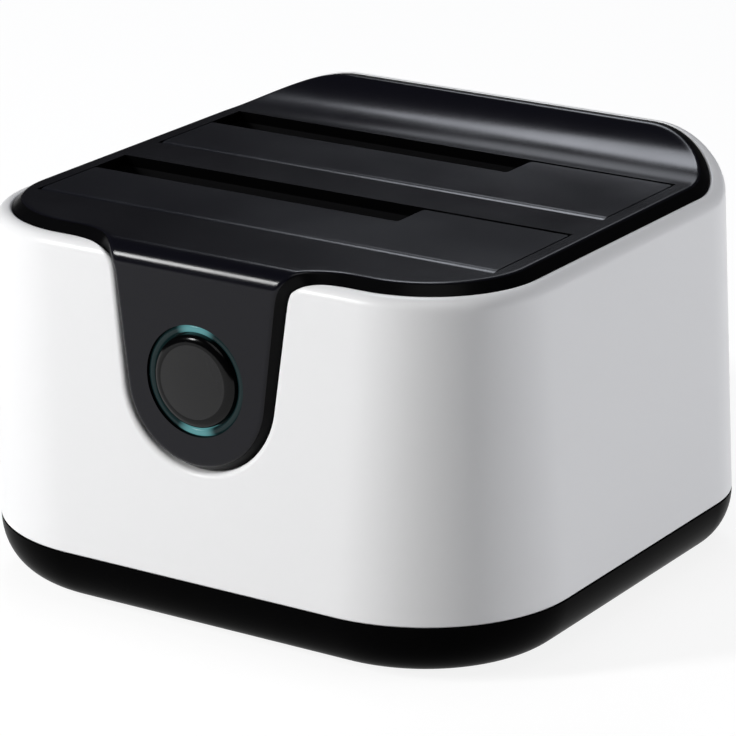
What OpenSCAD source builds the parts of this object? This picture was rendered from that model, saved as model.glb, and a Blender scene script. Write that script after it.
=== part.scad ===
// Two-bay docking station for bare hard drives.
// Drawn standing on its feet: X to the right, Y to the back, Z up, in millimetres.
// Every length is measured from the middle of the two drive flaps; place() centres the whole part.

/* [Flaps] */
// Length of a flap: the width of a 3.5-inch drive plus play
flap_l = 104; // [96:0.5:112]
// Depth of a flap: the thickness of a 3.5-inch drive plus play
flap_d = 28.4; // [26:0.2:32]
// Thickness of a flap
flap_t = 1.8; // [1.4:0.1:2]
// Distance between the middles of the two flaps
flap_pitch = 41; // [40:0.5:48]
// Length of the slot for a 2.5-inch drive
slot_l = 71.7; // [66:0.1:78]
// Depth of the slot for a 2.5-inch drive
slot_d = 9.6; // [7.5:0.1:12]
// Gap at the front and the ends of a flap
flap_gap = 0.3; // [0.2:0.05:0.6]
// Gap at the rear edge of a flap, where it swings down
swing_gap = 1; // [0.8:0.1:1.4]

/* [Housing] */
// Deck between the end of a flap and the edge of the deck
deck_side = 3.5; // [3:0.1:7]
// Deck in front of the front flap
deck_front = 14.4; // [13.6:0.2:20]
// Deck between the rear flap and the foot of the cove
cove_start = 1.4; // [1.2:0.1:4]
// Depth of the cove, from its foot to the lip
cove_run = 18.1; // [15:0.1:26]
// Height of the lip above the deck
lip_rise = 6.2; // [4:0.1:9]
// Width of the sloping edge of the deck
bevel_w = 2; // [1:0.1:2.4]
// Drop of the sloping edge of the deck
bevel_h = 1.9; // [0.8:0.1:1.9]
// Drop of the sloping edge along the lip
lip_drop = 0.3; // [0.2:0.1:1]
// Plan radius of the deck's front corners
deck_front_r = 20.5; // [16:0.5:22]
// Plan radius of the deck's rear corners
deck_rear_r = 19.6; // [15:0.2:22]
// Width of the white rim round the deck
rim_w = 3.3; // [2.8:0.1:4]
// Rounding of the outer edge of the rim
edge_r = 2.6; // [0.6:0.1:2.7]
// How far the side walls lean in from the parting line to the rim
draft_in = 2.5; // [1.5:0.1:4]
// How far the front wall leans in from the parting line to the rim
front_lean = 1.9; // [1:0.1:3]
// How far the rear wall leans in from the parting line to the rim
rear_lean = 1.1; // [0.6:0.1:3]
// Wall of the shell at the parting line
wall = 2.2; // [1.6:0.1:2.6]
// Plan radius of the two front corners at the parting line
front_r = 32; // [26:0.5:34]
// Plan radius of the two rear corners at the parting line
rear_r = 24; // [20:0.5:28]
// Height of the shell from the parting line to the deck
shell_h = 65.5; // [62:0.5:85]
// Height of the base tray
base_h = 11.5; // [10.5:0.1:15]
// How far the base tray curves in to its underside
base_in = 9.5; // [6:0.1:10.5]
// Floor of the base tray
base_floor = 2.2; // [2:0.1:3]
// How far the feet stand out of the base tray
foot_h = 1; // [0.6:0.1:2]
// Radius of a foot
foot_r = 5; // [3.5:0.1:5.5]

/* [Top panel] */
// Thickness of the panel
panel_t = 2.2; // [2.1:0.1:2.6]
// Thickness of the skirt inside the rim
skirt_t = 1.4; // [1.2:0.1:1.7]
// Depth of the skirt below the deck
skirt_h = 6.2; // [5:0.1:8]
// Gap between parts that fit into each other
fit_gap = 0.12; // [0.1:0.01:0.2]
// Radius of the roll from the deck to the tongue's face
roll_r = 4.4; // [3.6:0.1:5]
// How far the tongue's face lies behind the foot of the front wall
tongue_set = 0.2; // [0:0.1:0.6]
// Radius of the tongue's round end
tongue_r = 15.4; // [14.9:0.1:17]
// Length of the tongue below the deck
tongue_l = 41.2; // [41:0.2:46]
// Width of the tongue between the two flares
tongue_top_w = 35.5; // [34:0.5:38]
// Radius of the flare where the tongue meets the deck, on the unrolled surface
flare_r = 13.6; // [8:0.1:14]

/* [Button] */
// Depth of the button's middle below the deck
button_drop = 24.5; // [24:0.1:26]
// Radius of the button's cap
cap_r = 9.2; // [8:0.1:9.4]
// Radius of the flat of the cap
cap_flat_r = 7.3; // [6:0.1:7.6]
// How far the cap stands out of the tongue
cap_proud = 1.2; // [0.6:0.1:1.6]
// Travel of the button
travel = 1; // [0.6:0.1:1.2]
// Gap between the cap and the light ring
cap_gap = 0.3; // [0.25:0.05:0.4]
// Width of the light ring's face
ring_w = 1.4; // [1:0.1:1.6]
// How far the light ring lies below the tongue's face
ring_set = 0.4; // [0.1:0.1:0.8]

/* [Hinges] */
// Radius of a hinge pin
pin_r = 1; // [0.8:0.05:1.1]
// Running clearance of a flap on its pin
run_gap = 0.05; // [0.03:0.01:0.08]
// Radius of a hinge knuckle
knuckle_r = 1.7; // [1.6:0.05:1.9]
// Length of a hinge knuckle
knuckle_l = 9; // [6:0.5:12]
// Distance from the middle of the flap to the middle of a knuckle
knuckle_x = 36; // [28:0.5:39]
// Distance of a hinge pin in front of the flap
pin_ahead = 2.4; // [2.2:0.1:2.6]
// Radius of the spring's wire
wire_r = 0.3; // [0.2:0.05:0.32]
// Number of coils of a flap spring
coils = 6; // [3:1:8]

/* [Inside] */
// Wall of a drive bay
bay_t = 1.2; // [1:0.1:1.3]
// Floor of a drive bay
bay_floor = 1.5; // [1.2:0.1:2.5]
// Half the width of a hinge pocket
pocket_x = 46; // [44:0.5:47]
// Thickness of a circuit board
board_t = 1.6; // [1:0.1:2]
// Half the width of the main board
board_x = 43; // [40:0.5:44]
// Length of a drive socket
socket_l = 40; // [38:0.5:42]
// Width of a drive socket
socket_w = 6.4; // [5.6:0.1:6.8]
// Height of a drive socket
socket_h = 10; // [9:0.5:12]
// Distance of a drive socket's middle from the rear wall of its bay
socket_set = 4.4; // [4:0.1:6]
// Offset of a drive socket's middle to the left
socket_left = 20.7; // [18:0.1:22]
// Distance of the USB socket to the right of the middle
usb_x = 18; // [10:0.5:24]
// Distance of the DC inlet to the left of the middle
inlet_x = 20; // [10:0.5:24]
// Radius of the DC inlet's bore
inlet_r = 3.15; // [2.6:0.05:3.3]
// Radius of the DC inlet's centre pin
inlet_pin_r = 1.05; // [0.6:0.05:1.25]

/* [Hidden] */
$fn = 48;
corner_n = 12;
arc_n = 14;

// Plan of the housing
flaps_half = flap_pitch / 2 + flap_d / 2;
deck_x = flap_l / 2 + deck_side;
y_deck = -flaps_half - deck_front;
y_cove = flaps_half + cove_start;
y_lip = y_cove + cove_run;
rim_out = bevel_w + rim_w;
half_w = deck_x + rim_out + draft_in;
y_front = y_deck - rim_out - front_lean;
y_rear = y_lip + rim_out + rear_lean;
tongue_y = y_front + tongue_set;
cap_front_y = tongue_y - cap_proud;
y_mid = (min(y_front, cap_front_y) + y_rear) / 2;

// Heights
z_base = foot_h;
z_part = z_base + base_h;
z_deck = z_part + shell_h;
z_under = z_deck - panel_t;
z_ledge = z_deck - skirt_h;
z_button = z_deck - button_drop;
z_tongue = z_deck - tongue_l;
z_floor = z_base + base_floor;
board_rise = 0.6;
board_z = z_part + board_rise;
board_top = board_z + board_t;
socket_stand = 2.5;
bay_z = board_top + socket_h - socket_stand;

// Flap hinge, seen from the side
ceiling_gap = 0.4;
pin_z = z_under - ceiling_gap - knuckle_r;
pin_fit = 0.02;
coil_gap = 0.45;
coil_room = 0.4;
coil_r = pin_r + coil_room + wire_r;
coil_step = 2 * wire_r + coil_gap;
pocket_ahead = coil_r + wire_r + coil_room;
pocket_deep = 5.2;

// Cove
cove_r = (cove_run * cove_run + lip_rise * lip_rise) / (2 * lip_rise);
cove_a = asin(cove_run / cove_r);

// Legs, lugs and screws
leg_x = flap_l / 2 - 4;
leg_r = 3.2;
screw_r = 1.45;
screw_gap = 0.05;
head_r = 2.8;
head_h = 2;
lug_x = 34;
lug_r = 2.2;
lug_t = 2;
lug_drop = 9;
panel_screw_l = 5.6;
small_screw_r = 1;
small_head_r = 1.8;
small_head_h = 1.2;

// Screw points between the bays and the panel: before the front bay's hinge pocket and behind the rear bay
front_lug_y = -flaps_half - pin_ahead - pocket_ahead - bay_t - lug_r;
rear_lug_y = flaps_half + swing_gap + bay_t + lug_r;
lug_places = [for (x = [-lug_x, lug_x], y = [front_lug_y, rear_lug_y]) [x, y]];

// Feet, main board and posts
foot_in = 12;
foot_ahead = 2.3;
foot_behind = 7.3;
foot_x = flap_l / 2 - foot_in;
foot_front_y = -flaps_half - foot_ahead;
foot_rear_y = flaps_half + foot_behind;
foot_sunk = 0.8;
board_ahead = 4;
board_clear = 3.2;
board_front_y = -flaps_half - board_ahead;
board_rear_y = y_rear - wall - board_clear;
boss_in = 6;
boss_rear_in = 14;
boss_x = board_x - boss_in;
boss_front_y = board_front_y + boss_in;
boss_rear_y = board_rear_y - boss_rear_in;
boss_r = 3;
post_r = 1.8;
ledge_w = 2;

// Colours, as the photograph shows them
white_plastic = [0.93, 0.93, 0.94];
black_gloss = [0.04, 0.04, 0.045];
deck_black = [0.12, 0.12, 0.14];
flap_black = [0.16, 0.17, 0.2];
button_grey = [0.2, 0.2, 0.21];
teal = [0.3, 0.75, 0.75, 0.7];
steel = [0.72, 0.73, 0.75];
board_green = [0.05, 0.3, 0.16];
gold = [0.85, 0.68, 0.3];
dark_plastic = [0.09, 0.09, 0.1];

// Helpers

// Points on an arc in a plane
function arc(cx, cy, r, from, to, n) =
    [for (i = [0 : n]) let (a = from + (to - from) * i / n) [cx + r * cos(a), cy + r * sin(a)]];

// Plan outline with round corners, drawn out by a distance, anticlockwise from the rear right corner
function plan(x, front, rear, r_front, r_rear, out) = concat(
    arc(x - r_rear, rear - r_rear, r_rear + out, 0, 90, corner_n),
    arc(r_rear - x, rear - r_rear, r_rear + out, 90, 180, corner_n),
    arc(r_front - x, front + r_front, r_front + out, 180, 270, corner_n),
    arc(x - r_front, front + r_front, r_front + out, 270, 360, corner_n));

// Plan of the deck's crease, drawn out, and of the housing at the parting line, drawn in
function deck_plan(out) = plan(deck_x, y_deck, y_lip, deck_front_r, deck_rear_r, out);
function foot_plan(inset) = plan(half_w, y_front, y_rear, front_r, rear_r, -inset);

// Height of the deck's surface above the flat deck
function deck_rise(y) = y < y_cove ? 0 :
    cove_r - sqrt(cove_r * cove_r - pow(min(y, y_lip) - y_cove, 2));

// Height of the rim at each point of the plan
rim_z = [for (p = deck_plan(0)) let (rise = deck_rise(p[1]))
    z_deck + rise - bevel_h - (lip_drop - bevel_h) * rise / lip_rise];

// A ring of points: a plan at one height, or the deck's plan drawn out, at the height of the rim less a drop
function flat_ring(outline, z) = [for (p = outline) [p[0], p[1], z]];
function rim_ring(out, drop) = let (p = deck_plan(out))
    [for (i = [0 : len(p) - 1]) [p[i][0], p[i][1], rim_z[i] - drop]];

// Triangles between two neighbouring rings of n points
function band(r, next, n) = [for (i = [0 : n - 1]) let (j = (i + 1) % n)
    each [[r * n + i, next * n + i, next * n + j], [r * n + i, next * n + j, r * n + j]]];

// Solid between rings that close on themselves, like a tyre
module loft_loop(rings) {
    n = len(rings[0]);
    m = len(rings);
    polyhedron(points = [for (r = rings) each r], faces = [for (r = [0 : m - 1]) each band(r, (r + 1) % m, n)]);
}

// Solid between rings, closed flat at the first and at the last
module loft_bowl(rings) {
    n = len(rings[0]);
    m = len(rings);
    polyhedron(points = [for (r = rings) each r], faces = concat(
        [[for (i = [0 : n - 1]) i]],
        [for (r = [0 : m - 2]) each band(r, r + 1, n)],
        [[for (i = [n - 1 : -1 : 0]) (m - 1) * n + i]]));
}

// Extrude a side view, drawn as [y, z], to both sides of the middle
module across(width) {
    rotate([90, 0, 90]) linear_extrude(width, center = true) children();
}

// Extrude a front view, drawn as [x, z], from one y to another
module through(from, to) {
    translate([0, to, 0]) rotate([90, 0, 0]) linear_extrude(to - from) children();
}

// A round bar along Y
module bar_y(r, from, to) {
    translate([0, to, 0]) rotate([90, 0, 0]) cylinder(r = r, h = to - from);
}

// A box from its two corners
module box(low, high) {
    translate(low) cube(high - low);
}

module place() {
    translate([0, -y_mid, 0]) children();
}

// The panel's surface, unrolled: x across and s along the side view, from the start of the roll to the tongue's end
roll_y = tongue_y + roll_r;
roll_l = roll_r * PI / 2;
front_s = roll_y - y_deck;
flare_x = tongue_top_w / 2 + flare_r;
flare_s = front_s + flare_r;
round_s = roll_l + tongue_l - roll_r - tongue_r;
flare_n = 8;
round_n = 12;

// Slope of the straight sides, which touch the flare's circle and the tongue's round end
side_a = atan2(flare_s - round_s, flare_x) + acos((flare_r + tongue_r) / norm([flare_x, flare_s - round_s]));

// Point at a depth below the unrolled surface
function on_panel(x, s, depth) =
    s < 0 ? [x, roll_y - s, z_deck - depth] :
    s < roll_l ? let (a = 90 * s / roll_l)
        [x, roll_y - (roll_r - depth) * sin(a), z_deck - roll_r + (roll_r - depth) * cos(a)] :
    [x, tongue_y + depth, z_deck - roll_r - (s - roll_l)];

// Right half of the tongue's outline as [x, s], drawn out by a distance, from the deck's front crease to the bottom
function tongue_edge(out) =
    let (flare = arc(flare_x, flare_s, flare_r - out, -90, side_a - 180, flare_n), last = flare[flare_n])
    concat(
        flare,
        last[1] < roll_l ? [[last[0] - (roll_l - last[1]) * tan(side_a), roll_l]] : [],
        arc(0, round_s, tongue_r + out, side_a, 88, round_n));

// The same outline in the front view, closed above the deck
function tongue_front(out) =
    let (right = [for (p = tongue_edge(out)) let (q = on_panel(p[0], p[1], bevel_h)) [p[0], q[2]]],
        z_top = z_deck + 2 * lip_rise)
    concat([[flare_x, z_top]], right, [for (p = backwards(right)) [-p[0], p[1]]], [[-flare_x, z_top]]);

function backwards(points) = [for (i = [len(points) - 1 : -1 : 0]) points[i]];

// White shell: a drafted sleeve with a rounded rim, a ledge for the panel and a notch for the tongue
module white_shell() {
    rim_round = [0, 22.5, 45, 67.5, 90];
    past = 2;
    socket_gap = 0.4;
    rings = concat(
        [flat_ring(foot_plan(0), z_part)],
        [for (a = rim_round) rim_ring(rim_out - edge_r * (1 - cos(a)), edge_r * (1 - sin(a)))],
        [rim_ring(bevel_w, 0)],
        [flat_ring(deck_plan(bevel_w), z_ledge)],
        [flat_ring(deck_plan(bevel_w - ledge_w), z_ledge)],
        [flat_ring(deck_plan(bevel_w), z_ledge - 2 * ledge_w)],
        [flat_ring(foot_plan(wall), z_part)]);
    color(white_plastic) difference() {
        loft_loop(rings);
        through(y_front - past, y_deck + ledge_w + past) polygon(tongue_front(bevel_w + fit_gap));
        translate([usb_x, 0, 0]) through(y_lip, y_rear + past) polygon(usb_outline(socket_gap));
        translate([-inlet_x, 0, inlet_z]) bar_y(inlet_collar_r + socket_gap, y_lip, y_rear + past);
    }
}

// Base tray: a bowl with curved flanks, a tongue that centres the shell, bosses and pockets for the feet
module base_tray() {
    flank = [90, 75, 60, 45, 30, 15, 0];
    lip_in = wall + fit_gap;
    lip_t = 1.6;
    lip_h = 1.5;
    rings = concat(
        [for (a = flank) flat_ring(foot_plan(base_in * (1 - cos(a))), z_part - base_h * sin(a))],
        [flat_ring(foot_plan(lip_in), z_part), flat_ring(foot_plan(lip_in), z_part + lip_h)],
        [for (z = [z_part + lip_h, z_part - base_h / 3]) flat_ring(foot_plan(lip_in + lip_t), z)],
        [flat_ring(foot_plan(base_in + lip_t), z_floor)]);
    color(black_gloss) difference() {
        union() {
            loft_bowl(rings);
            at_legs() translate([0, 0, z_floor - 1]) cylinder(r = leg_r + 0.8, h = z_part - z_floor + 1);
            at_board_bosses() translate([0, 0, z_floor - 1]) cylinder(r = boss_r, h = board_z - z_floor + 1);
        }
        at_legs() {
            translate([0, 0, -1]) cylinder(r = head_r + 0.3, h = z_base + head_h + 1.6);
            cylinder(r = screw_r + 0.15, h = z_part + 1);
        }
        at_board_bosses() translate([0, 0, z_floor]) cylinder(r = screw_r + screw_gap, h = board_z);
        for (x = [-foot_x, foot_x], y = [foot_front_y, foot_rear_y])
            translate([x, y, -1]) cylinder(r = foot_r + fit_gap, h = z_base + foot_sunk + 1);
    }
}

module at_legs() {
    for (x = [-leg_x, leg_x], y = [-flap_pitch / 2, flap_pitch / 2]) translate([x, y, 0]) children();
}

module at_board_bosses() {
    for (x = [-boss_x, boss_x], y = [boss_front_y, boss_rear_y]) translate([x, y, 0]) children();
}

module foot(x, y) {
    color(dark_plastic) translate([x, y, 0]) rotate_extrude() polygon([
        [0, 0], [foot_r - 0.6, 0], [foot_r, 0.5], [foot_r, z_base + foot_sunk], [0, z_base + foot_sunk]]);
}

module base_screws() {
    color(steel) at_legs() {
        translate([0, 0, z_base + 0.6]) cylinder(r = head_r, h = head_h);
        cylinder_up(screw_r, z_base + 0.6, bay_z - 1);
    }
}

module cylinder_up(r, from, to) {
    translate([0, 0, from]) cylinder(r = r, h = to - from);
}

// Right half of the deck's outline as [x, y], drawn out by a distance, from the lip to the front crease
function deck_edge(out) = let (y_side = y_lip - deck_rear_r) concat(
    arc(deck_x - deck_rear_r, y_side, deck_rear_r + out, 90, 0, corner_n),
    y_cove < y_side ? [for (i = [1 : cove_n]) [deck_x + out, y_side + (y_cove - y_side) * i / cove_n]] : [],
    arc(deck_x - deck_front_r, y_deck + deck_front_r, deck_front_r + out, 0, -90, corner_n));
cove_n = 3;
deck_crease = deck_edge(0);
deck_n = len(deck_crease);

// Height of the crease, and of the foot of the sloping edge, at each point of the deck's outline
function crease_top(i) = z_deck + deck_rise(deck_crease[i][1]);
function edge_drop(i) = bevel_h + (lip_drop - bevel_h) * deck_rise(deck_crease[i][1]) / lip_rise;

// Ring round the whole panel, drawn out from the crease; drop is the depth below it, or the sloping edge's own
function panel_ring(out, drop, depth) =
    let (deck = deck_edge(out),
        right = concat(
            [for (i = [0 : deck_n - 1]) [deck[i][0], deck[i][1], crease_top(i) - (drop < 0 ? edge_drop(i) : drop)]],
            [for (p = tongue_edge(out)) on_panel(p[0], p[1], depth)]))
    concat(right, [for (p = backwards(right)) [-p[0], p[1], p[2]]]);

// Skin of the panel: strips from side to side on the top and underside, and a sloping edge and a wall all round
module panel_skin() {
    out = bevel_w - fit_gap;
    rings = [panel_ring(0, 0, 0), panel_ring(out, -1, bevel_h), panel_ring(out, panel_t, panel_t)];
    n = len(rings[0]);
    half = n / 2;
    // The front crease is straight, so the strip before it also takes in its two ends
    strips = [for (i = [0 : half - 2]) if (i != deck_n - 1) let (end = i == deck_n - 2 ? i + 2 : i + 1)
        concat([for (k = [i : end]) k], [for (k = [end : -1 : i]) n - 1 - k])];
    polyhedron(points = [for (r = rings) each r], faces = concat(
        strips,
        band(0, 1, n),
        band(1, 2, n),
        [for (f = strips) [for (k = backwards(f)) 2 * n + k]]));
}

// Top panel: the skin with a skirt inside the rim, screw bosses and posts for the button board
module top_panel() {
    trim_gap = fit_gap / 2;
    past = 2;
    post_y = tongue_y + panel_t * 0.8;
    skirt_top = (bevel_h + panel_t) / 2;
    skirt_open = flare_x + bevel_w;
    screw_room = 1;
    skirt_side = concat(
        [[y_rear, 0], [y_front, 0], [y_front, z_deck - skirt_top]],
        arc(y_cove, z_deck + cove_r, cove_r + skirt_top, 270, 270 + cove_a, arc_n),
        [[y_rear, z_deck + cove_r - (cove_r + skirt_top) * cos(cove_a)]]);
    color(deck_black) difference() {
        union() {
            intersection() {
                panel_skin();
                union() {
                    translate([0, 0, z_ledge]) linear_extrude(lip_rise + skirt_h + past)
                        polygon(deck_plan(bevel_w - trim_gap));
                    through(y_front - past, roll_y + 1) polygon(tongue_front(bevel_w - trim_gap));
                }
            }
            intersection() {
                translate([0, 0, z_ledge]) linear_extrude(lip_rise + skirt_h + past) difference() {
                    polygon(deck_plan(bevel_w - fit_gap));
                    polygon(deck_plan(bevel_w - fit_gap - skirt_t));
                    translate([-skirt_open, y_front]) square([2 * skirt_open, deck_front]);
                }
                across(2 * half_w) polygon(skirt_side);
            }
            for (p = lug_places) translate([p[0], p[1], 0])
                cylinder_up(lug_r, z_deck - lug_drop + lug_t, z_under + deck_rise(p[1]) + panel_t / 2);
            at_posts() bar_y(post_r, post_y, button_board_y);
        }
        for (y = [-flap_pitch / 2, flap_pitch / 2])
            box([-flap_l / 2 - flap_gap, y - flap_d / 2 - flap_gap, z_under - 1],
                [flap_l / 2 + flap_gap, y + flap_d / 2 + swing_gap, z_deck + 1]);
        translate([0, 0, z_button]) bar_y(ring_r + fit_gap, tongue_y - past, tongue_y + panel_t + past);
        for (p = lug_places) translate([p[0], p[1], 0])
            cylinder_up(small_screw_r + screw_gap, z_deck - lug_drop, z_deck - lug_drop + panel_screw_l + screw_room);
        at_posts() bar_y(post_screw_r + screw_gap, tongue_y + panel_t + screw_room, button_board_y + past);
    }
}

module panel_screws() {
    color(steel) for (p = lug_places) translate([p[0], p[1], z_deck - lug_drop]) {
        cylinder_up(small_head_r, -small_head_h, 0);
        cylinder_up(small_screw_r, -small_head_h, panel_screw_l);
    }
}

// Flap: an L-shaped door with two knuckles that hang under the front edge
module flap(y) {
    front = y - flap_d / 2;
    rear = y + flap_d / 2;
    pin_y = front - pin_ahead;
    plate_z = z_deck - flap_t;
    arm = [[pin_y, pin_z - 1.2], [front + 1, pin_z + 0.3], [front + 2.2, plate_z + 0.2], [front + 0.1, plate_z + 0.2],
        [front + 0.1, z_under - 0.1], [pin_y, z_under - 0.1]];
    color(flap_black) difference() {
        union() {
            translate([0, 0, plate_z]) linear_extrude(flap_t) polygon([
                [-flap_l / 2, front], [flap_l / 2, front], [flap_l / 2, rear], [slot_l - flap_l / 2, rear],
                [slot_l - flap_l / 2, rear - slot_d], [-flap_l / 2, rear - slot_d]]);
            for (x = [-knuckle_x, knuckle_x]) translate([x, 0, 0]) {
                translate([-knuckle_l / 2, pin_y, pin_z]) rotate([0, 90, 0]) cylinder(r = knuckle_r, h = knuckle_l);
                across(knuckle_l) polygon(arm);
            }
        }
        translate([-flap_l, pin_y, pin_z]) rotate([0, 90, 0]) cylinder(r = pin_r + run_gap, h = 2 * flap_l);
    }
}

module flap_pin(y) {
    length = 2 * (pocket_x + bay_t);
    color(steel) translate([-length / 2, y - flap_d / 2 - pin_ahead, pin_z]) rotate([0, 90, 0])
        cylinder(r = pin_r, h = length);
}

// Torsion spring: one wire with a leg under the flap, coils round the pin and a leg on the pocket's front wall
function spring_path() =
    let (flap_under = pin_z_to_flap - wire_r - 0.02, turns = coils + 0.25, steps = 16 * (coils + 0.25))
    concat(
        [[-coil_step * turns / 2, 9, flap_under], [-coil_step * turns / 2, 3, coil_r + (flap_under - coil_r) / 3]],
        [for (i = [0 : steps]) let (a = 90 + 360 * turns * i / steps)
            [coil_step * turns * (i / steps - 0.5), coil_r * cos(a), coil_r * sin(a)]],
        [[coil_step * turns / 2, wire_r + 0.03 - pocket_ahead, -2.2],
            [coil_step * turns / 2, wire_r + 0.03 - pocket_ahead, -4.4]]);
pin_z_to_flap = z_deck - flap_t - pin_z;

// Round wire along a path that never runs along X
function unit(v) = v / norm(v);
function wire_points(path, r, sides) = [for (i = [0 : len(path) - 1])
    let (t = unit(path[min(i + 1, len(path) - 1)] - path[max(i - 1, 0)]),
        u = unit(cross(t, [1, 0, 0])), v = cross(u, t))
    [for (k = [0 : sides - 1]) path[i] + r * (cos(360 * k / sides) * u + sin(360 * k / sides) * v)]];

// Least gap between the turns of a spring, measured on its points half a turn or more apart
spring_points = spring_path();
half_turn = 8;
echo(least_spring_gap = min([for (i = [0 : len(spring_points) - 1], j = [i + half_turn : 1 : len(spring_points) - 1])
    norm(spring_points[i] - spring_points[j])]) - 2 * wire_r);

module flap_spring(y) {
    color(steel) translate([0, y - flap_d / 2 - pin_ahead, pin_z])
        loft_bowl(wire_points(spring_points, wire_r, 6));
}

// Drive bay: a well with a pocket for the hinge, legs on the base tray and lugs under the panel
module bay(y) {
    front = y - flap_d / 2 - flap_gap;
    rear = y + flap_d / 2 + swing_gap;
    end = flap_l / 2 + flap_gap;
    pin_y = y - flap_d / 2 - pin_ahead;
    pocket_front = pin_y - pocket_ahead;
    pocket_z = pin_z - pocket_deep;
    ear_t = bay_t + 0.8;
    lug_y = y < 0 ? front_lug_y : rear_lug_y;
    lug_root = (y < 0 ? 1 : -1) * (lug_r + bay_t / 2);
    socket_y = rear - socket_set;
    window = 0.4;
    color(dark_plastic) difference() {
        union() {
            box([-end - bay_t, front - bay_t, bay_z], [end + bay_t, rear + bay_t, z_under]);
            box([-pocket_x - ear_t, pocket_front - bay_t, pocket_z - bay_t], [pocket_x + ear_t, y, z_under]);
            for (x = [-leg_x, leg_x]) translate([x, y, 0]) cylinder_up(leg_r, z_part, bay_z + bay_floor);
            for (x = [-lug_x, lug_x]) translate([x, lug_y, z_deck - lug_drop]) {
                cylinder_up(lug_r, 0, lug_t);
                box([-lug_r, min(0, lug_root), 0], [lug_r, max(0, lug_root), lug_t]);
            }
        }
        box([-end, front, bay_z + bay_floor], [end, rear, z_deck]);
        box([-pocket_x, pocket_front, pocket_z], [pocket_x, y, z_deck]);
        translate([-flap_l, pin_y, pin_z]) rotate([0, 90, 0]) cylinder(r = pin_r + pin_fit, h = 2 * flap_l);
        box([-socket_left - socket_l / 2 - window, socket_y - socket_w / 2 - window, bay_z - 1],
            [-socket_left + socket_l / 2 + window, socket_y + socket_w / 2 + window, bay_z + bay_floor + 1]);
        for (x = [-leg_x, leg_x]) translate([x, y, 0]) cylinder_up(screw_r + screw_gap, z_part - 1, bay_z);
        for (x = [-lug_x, lug_x]) translate([x, lug_y, z_deck - lug_drop])
            cylinder_up(small_screw_r + 2 * screw_gap, -1, lug_t + 1);
    }
}

// Main board
module main_board() {
    color(board_green) difference() {
        box([-board_x, board_front_y, board_z], [board_x, board_rear_y, board_top]);
        at_board_bosses() cylinder_up(screw_r + 0.2, board_z - 1, board_top + 1);
    }
}

module board_screws() {
    color(steel) at_board_bosses() {
        cylinder_up(head_r, board_top, board_top + 1.6);
        cylinder_up(screw_r, z_floor + 2, board_top + 1.6);
    }
}

// Drive socket: a long box with a signal slot and a power slot
signal_l = 11.4;
power_l = 21.6;
slot_between = 2.2;
blade_slot = 2.6;
slot_deep = 6.5;
contact_step = 1.27;

function socket_y(y) = y + flap_d / 2 + swing_gap - socket_set;
function signal_x() = -socket_left + (signal_l + slot_between + power_l) / 2 - signal_l;
function power_x() = -socket_left - (signal_l + slot_between + power_l) / 2;

module drive_socket(y) {
    top = board_top + socket_h;
    color(dark_plastic) difference() {
        box([-socket_left - socket_l / 2, socket_y(y) - socket_w / 2, board_top],
            [-socket_left + socket_l / 2, socket_y(y) + socket_w / 2, top]);
        for (s = [[signal_x(), signal_l], [power_x(), power_l]])
            box([s[0], socket_y(y) - blade_slot / 2, top - slot_deep], [s[0] + s[1], socket_y(y) + blade_slot / 2, top + 1]);
    }
}

module socket_contacts(y) {
    blade_w = 0.7;
    blade_t = 0.4;
    back = socket_y(y) + blade_slot / 2;
    bottom = board_top + socket_h - slot_deep;
    starts = concat(
        [for (i = [0 : 6]) signal_x() + signal_l / 2 + (i - 3) * contact_step],
        [for (i = [0 : 14]) power_x() + power_l / 2 + (i - 7) * contact_step]);
    color(gold) for (x = starts)
        box([x - blade_w / 2, back - blade_t, bottom], [x + blade_w / 2, back, bottom + slot_deep - 1]);
}

module controller_chip() {
    size = 12;
    body_h = 1.4;
    chip_x = 14;
    dot_r = 0.7;
    dot_in = 1.8;
    dot_deep = 0.2;
    color(dark_plastic) translate([chip_x, 0, board_top]) difference() {
        cube([size, size, body_h]);
        translate([dot_in, dot_in, body_h - dot_deep]) cylinder(r = dot_r, h = 1);
    }
}

module capacitors() {
    can_r = 3;
    can_h = 7;
    can_step = 7;
    can_behind = 9;
    bead = 0.4;
    color(steel) for (i = [0, 1]) translate([i * can_step - boss_x, boss_rear_y + can_behind, board_top])
        rotate_extrude() polygon([
            [0, 0], [can_r, 0], [can_r, can_r / 3], [can_r - bead, can_r / 3 + bead], [can_r, can_r / 3 + 2 * bead],
            [can_r, can_h - bead], [can_r - bead, can_h], [0, can_h]]);
}

module inductors() {
    side = 6;
    coil_h = 3;
    flange_h = 2.6;
    coil_in = 0.4;
    first_x = 6;
    coil_y = -4;
    step = 8;
    color(dark_plastic) for (i = [0, 1]) translate([first_x + i * step, coil_y, board_top]) {
        translate([-side / 2, -side / 2, 0]) cube([side, side, flange_h]);
        cylinder(r = side / 2 - coil_in, h = coil_h);
    }
}

// Rear sockets
inlet_up = 5.5;
inlet_wall = 0.9;
inlet_z = board_top + inlet_up;
inlet_collar_r = inlet_r + inlet_wall;
mouth_set = 0.6;
mouth_y = y_rear - mouth_set;
inlet_deep = 11;

module dc_inlet() {
    body_w = 9;
    body_l = 12;
    body_up = 5;
    body_y = mouth_y - wall - mouth_set;
    color(dark_plastic) translate([-inlet_x, 0, 0]) difference() {
        union() {
            box([-body_w / 2, body_y - body_l, board_top], [body_w / 2, body_y, inlet_z + body_up]);
            translate([0, 0, inlet_z]) bar_y(inlet_collar_r, body_y - 1, mouth_y);
        }
        translate([0, 0, inlet_z]) bar_y(inlet_r, mouth_y - inlet_deep, mouth_y + 1);
    }
}

module dc_inlet_pin() {
    pin_set = 0.8;
    color(steel) translate([-inlet_x, 0, inlet_z]) bar_y(inlet_pin_r, mouth_y - inlet_deep, mouth_y - pin_set);
}

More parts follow.
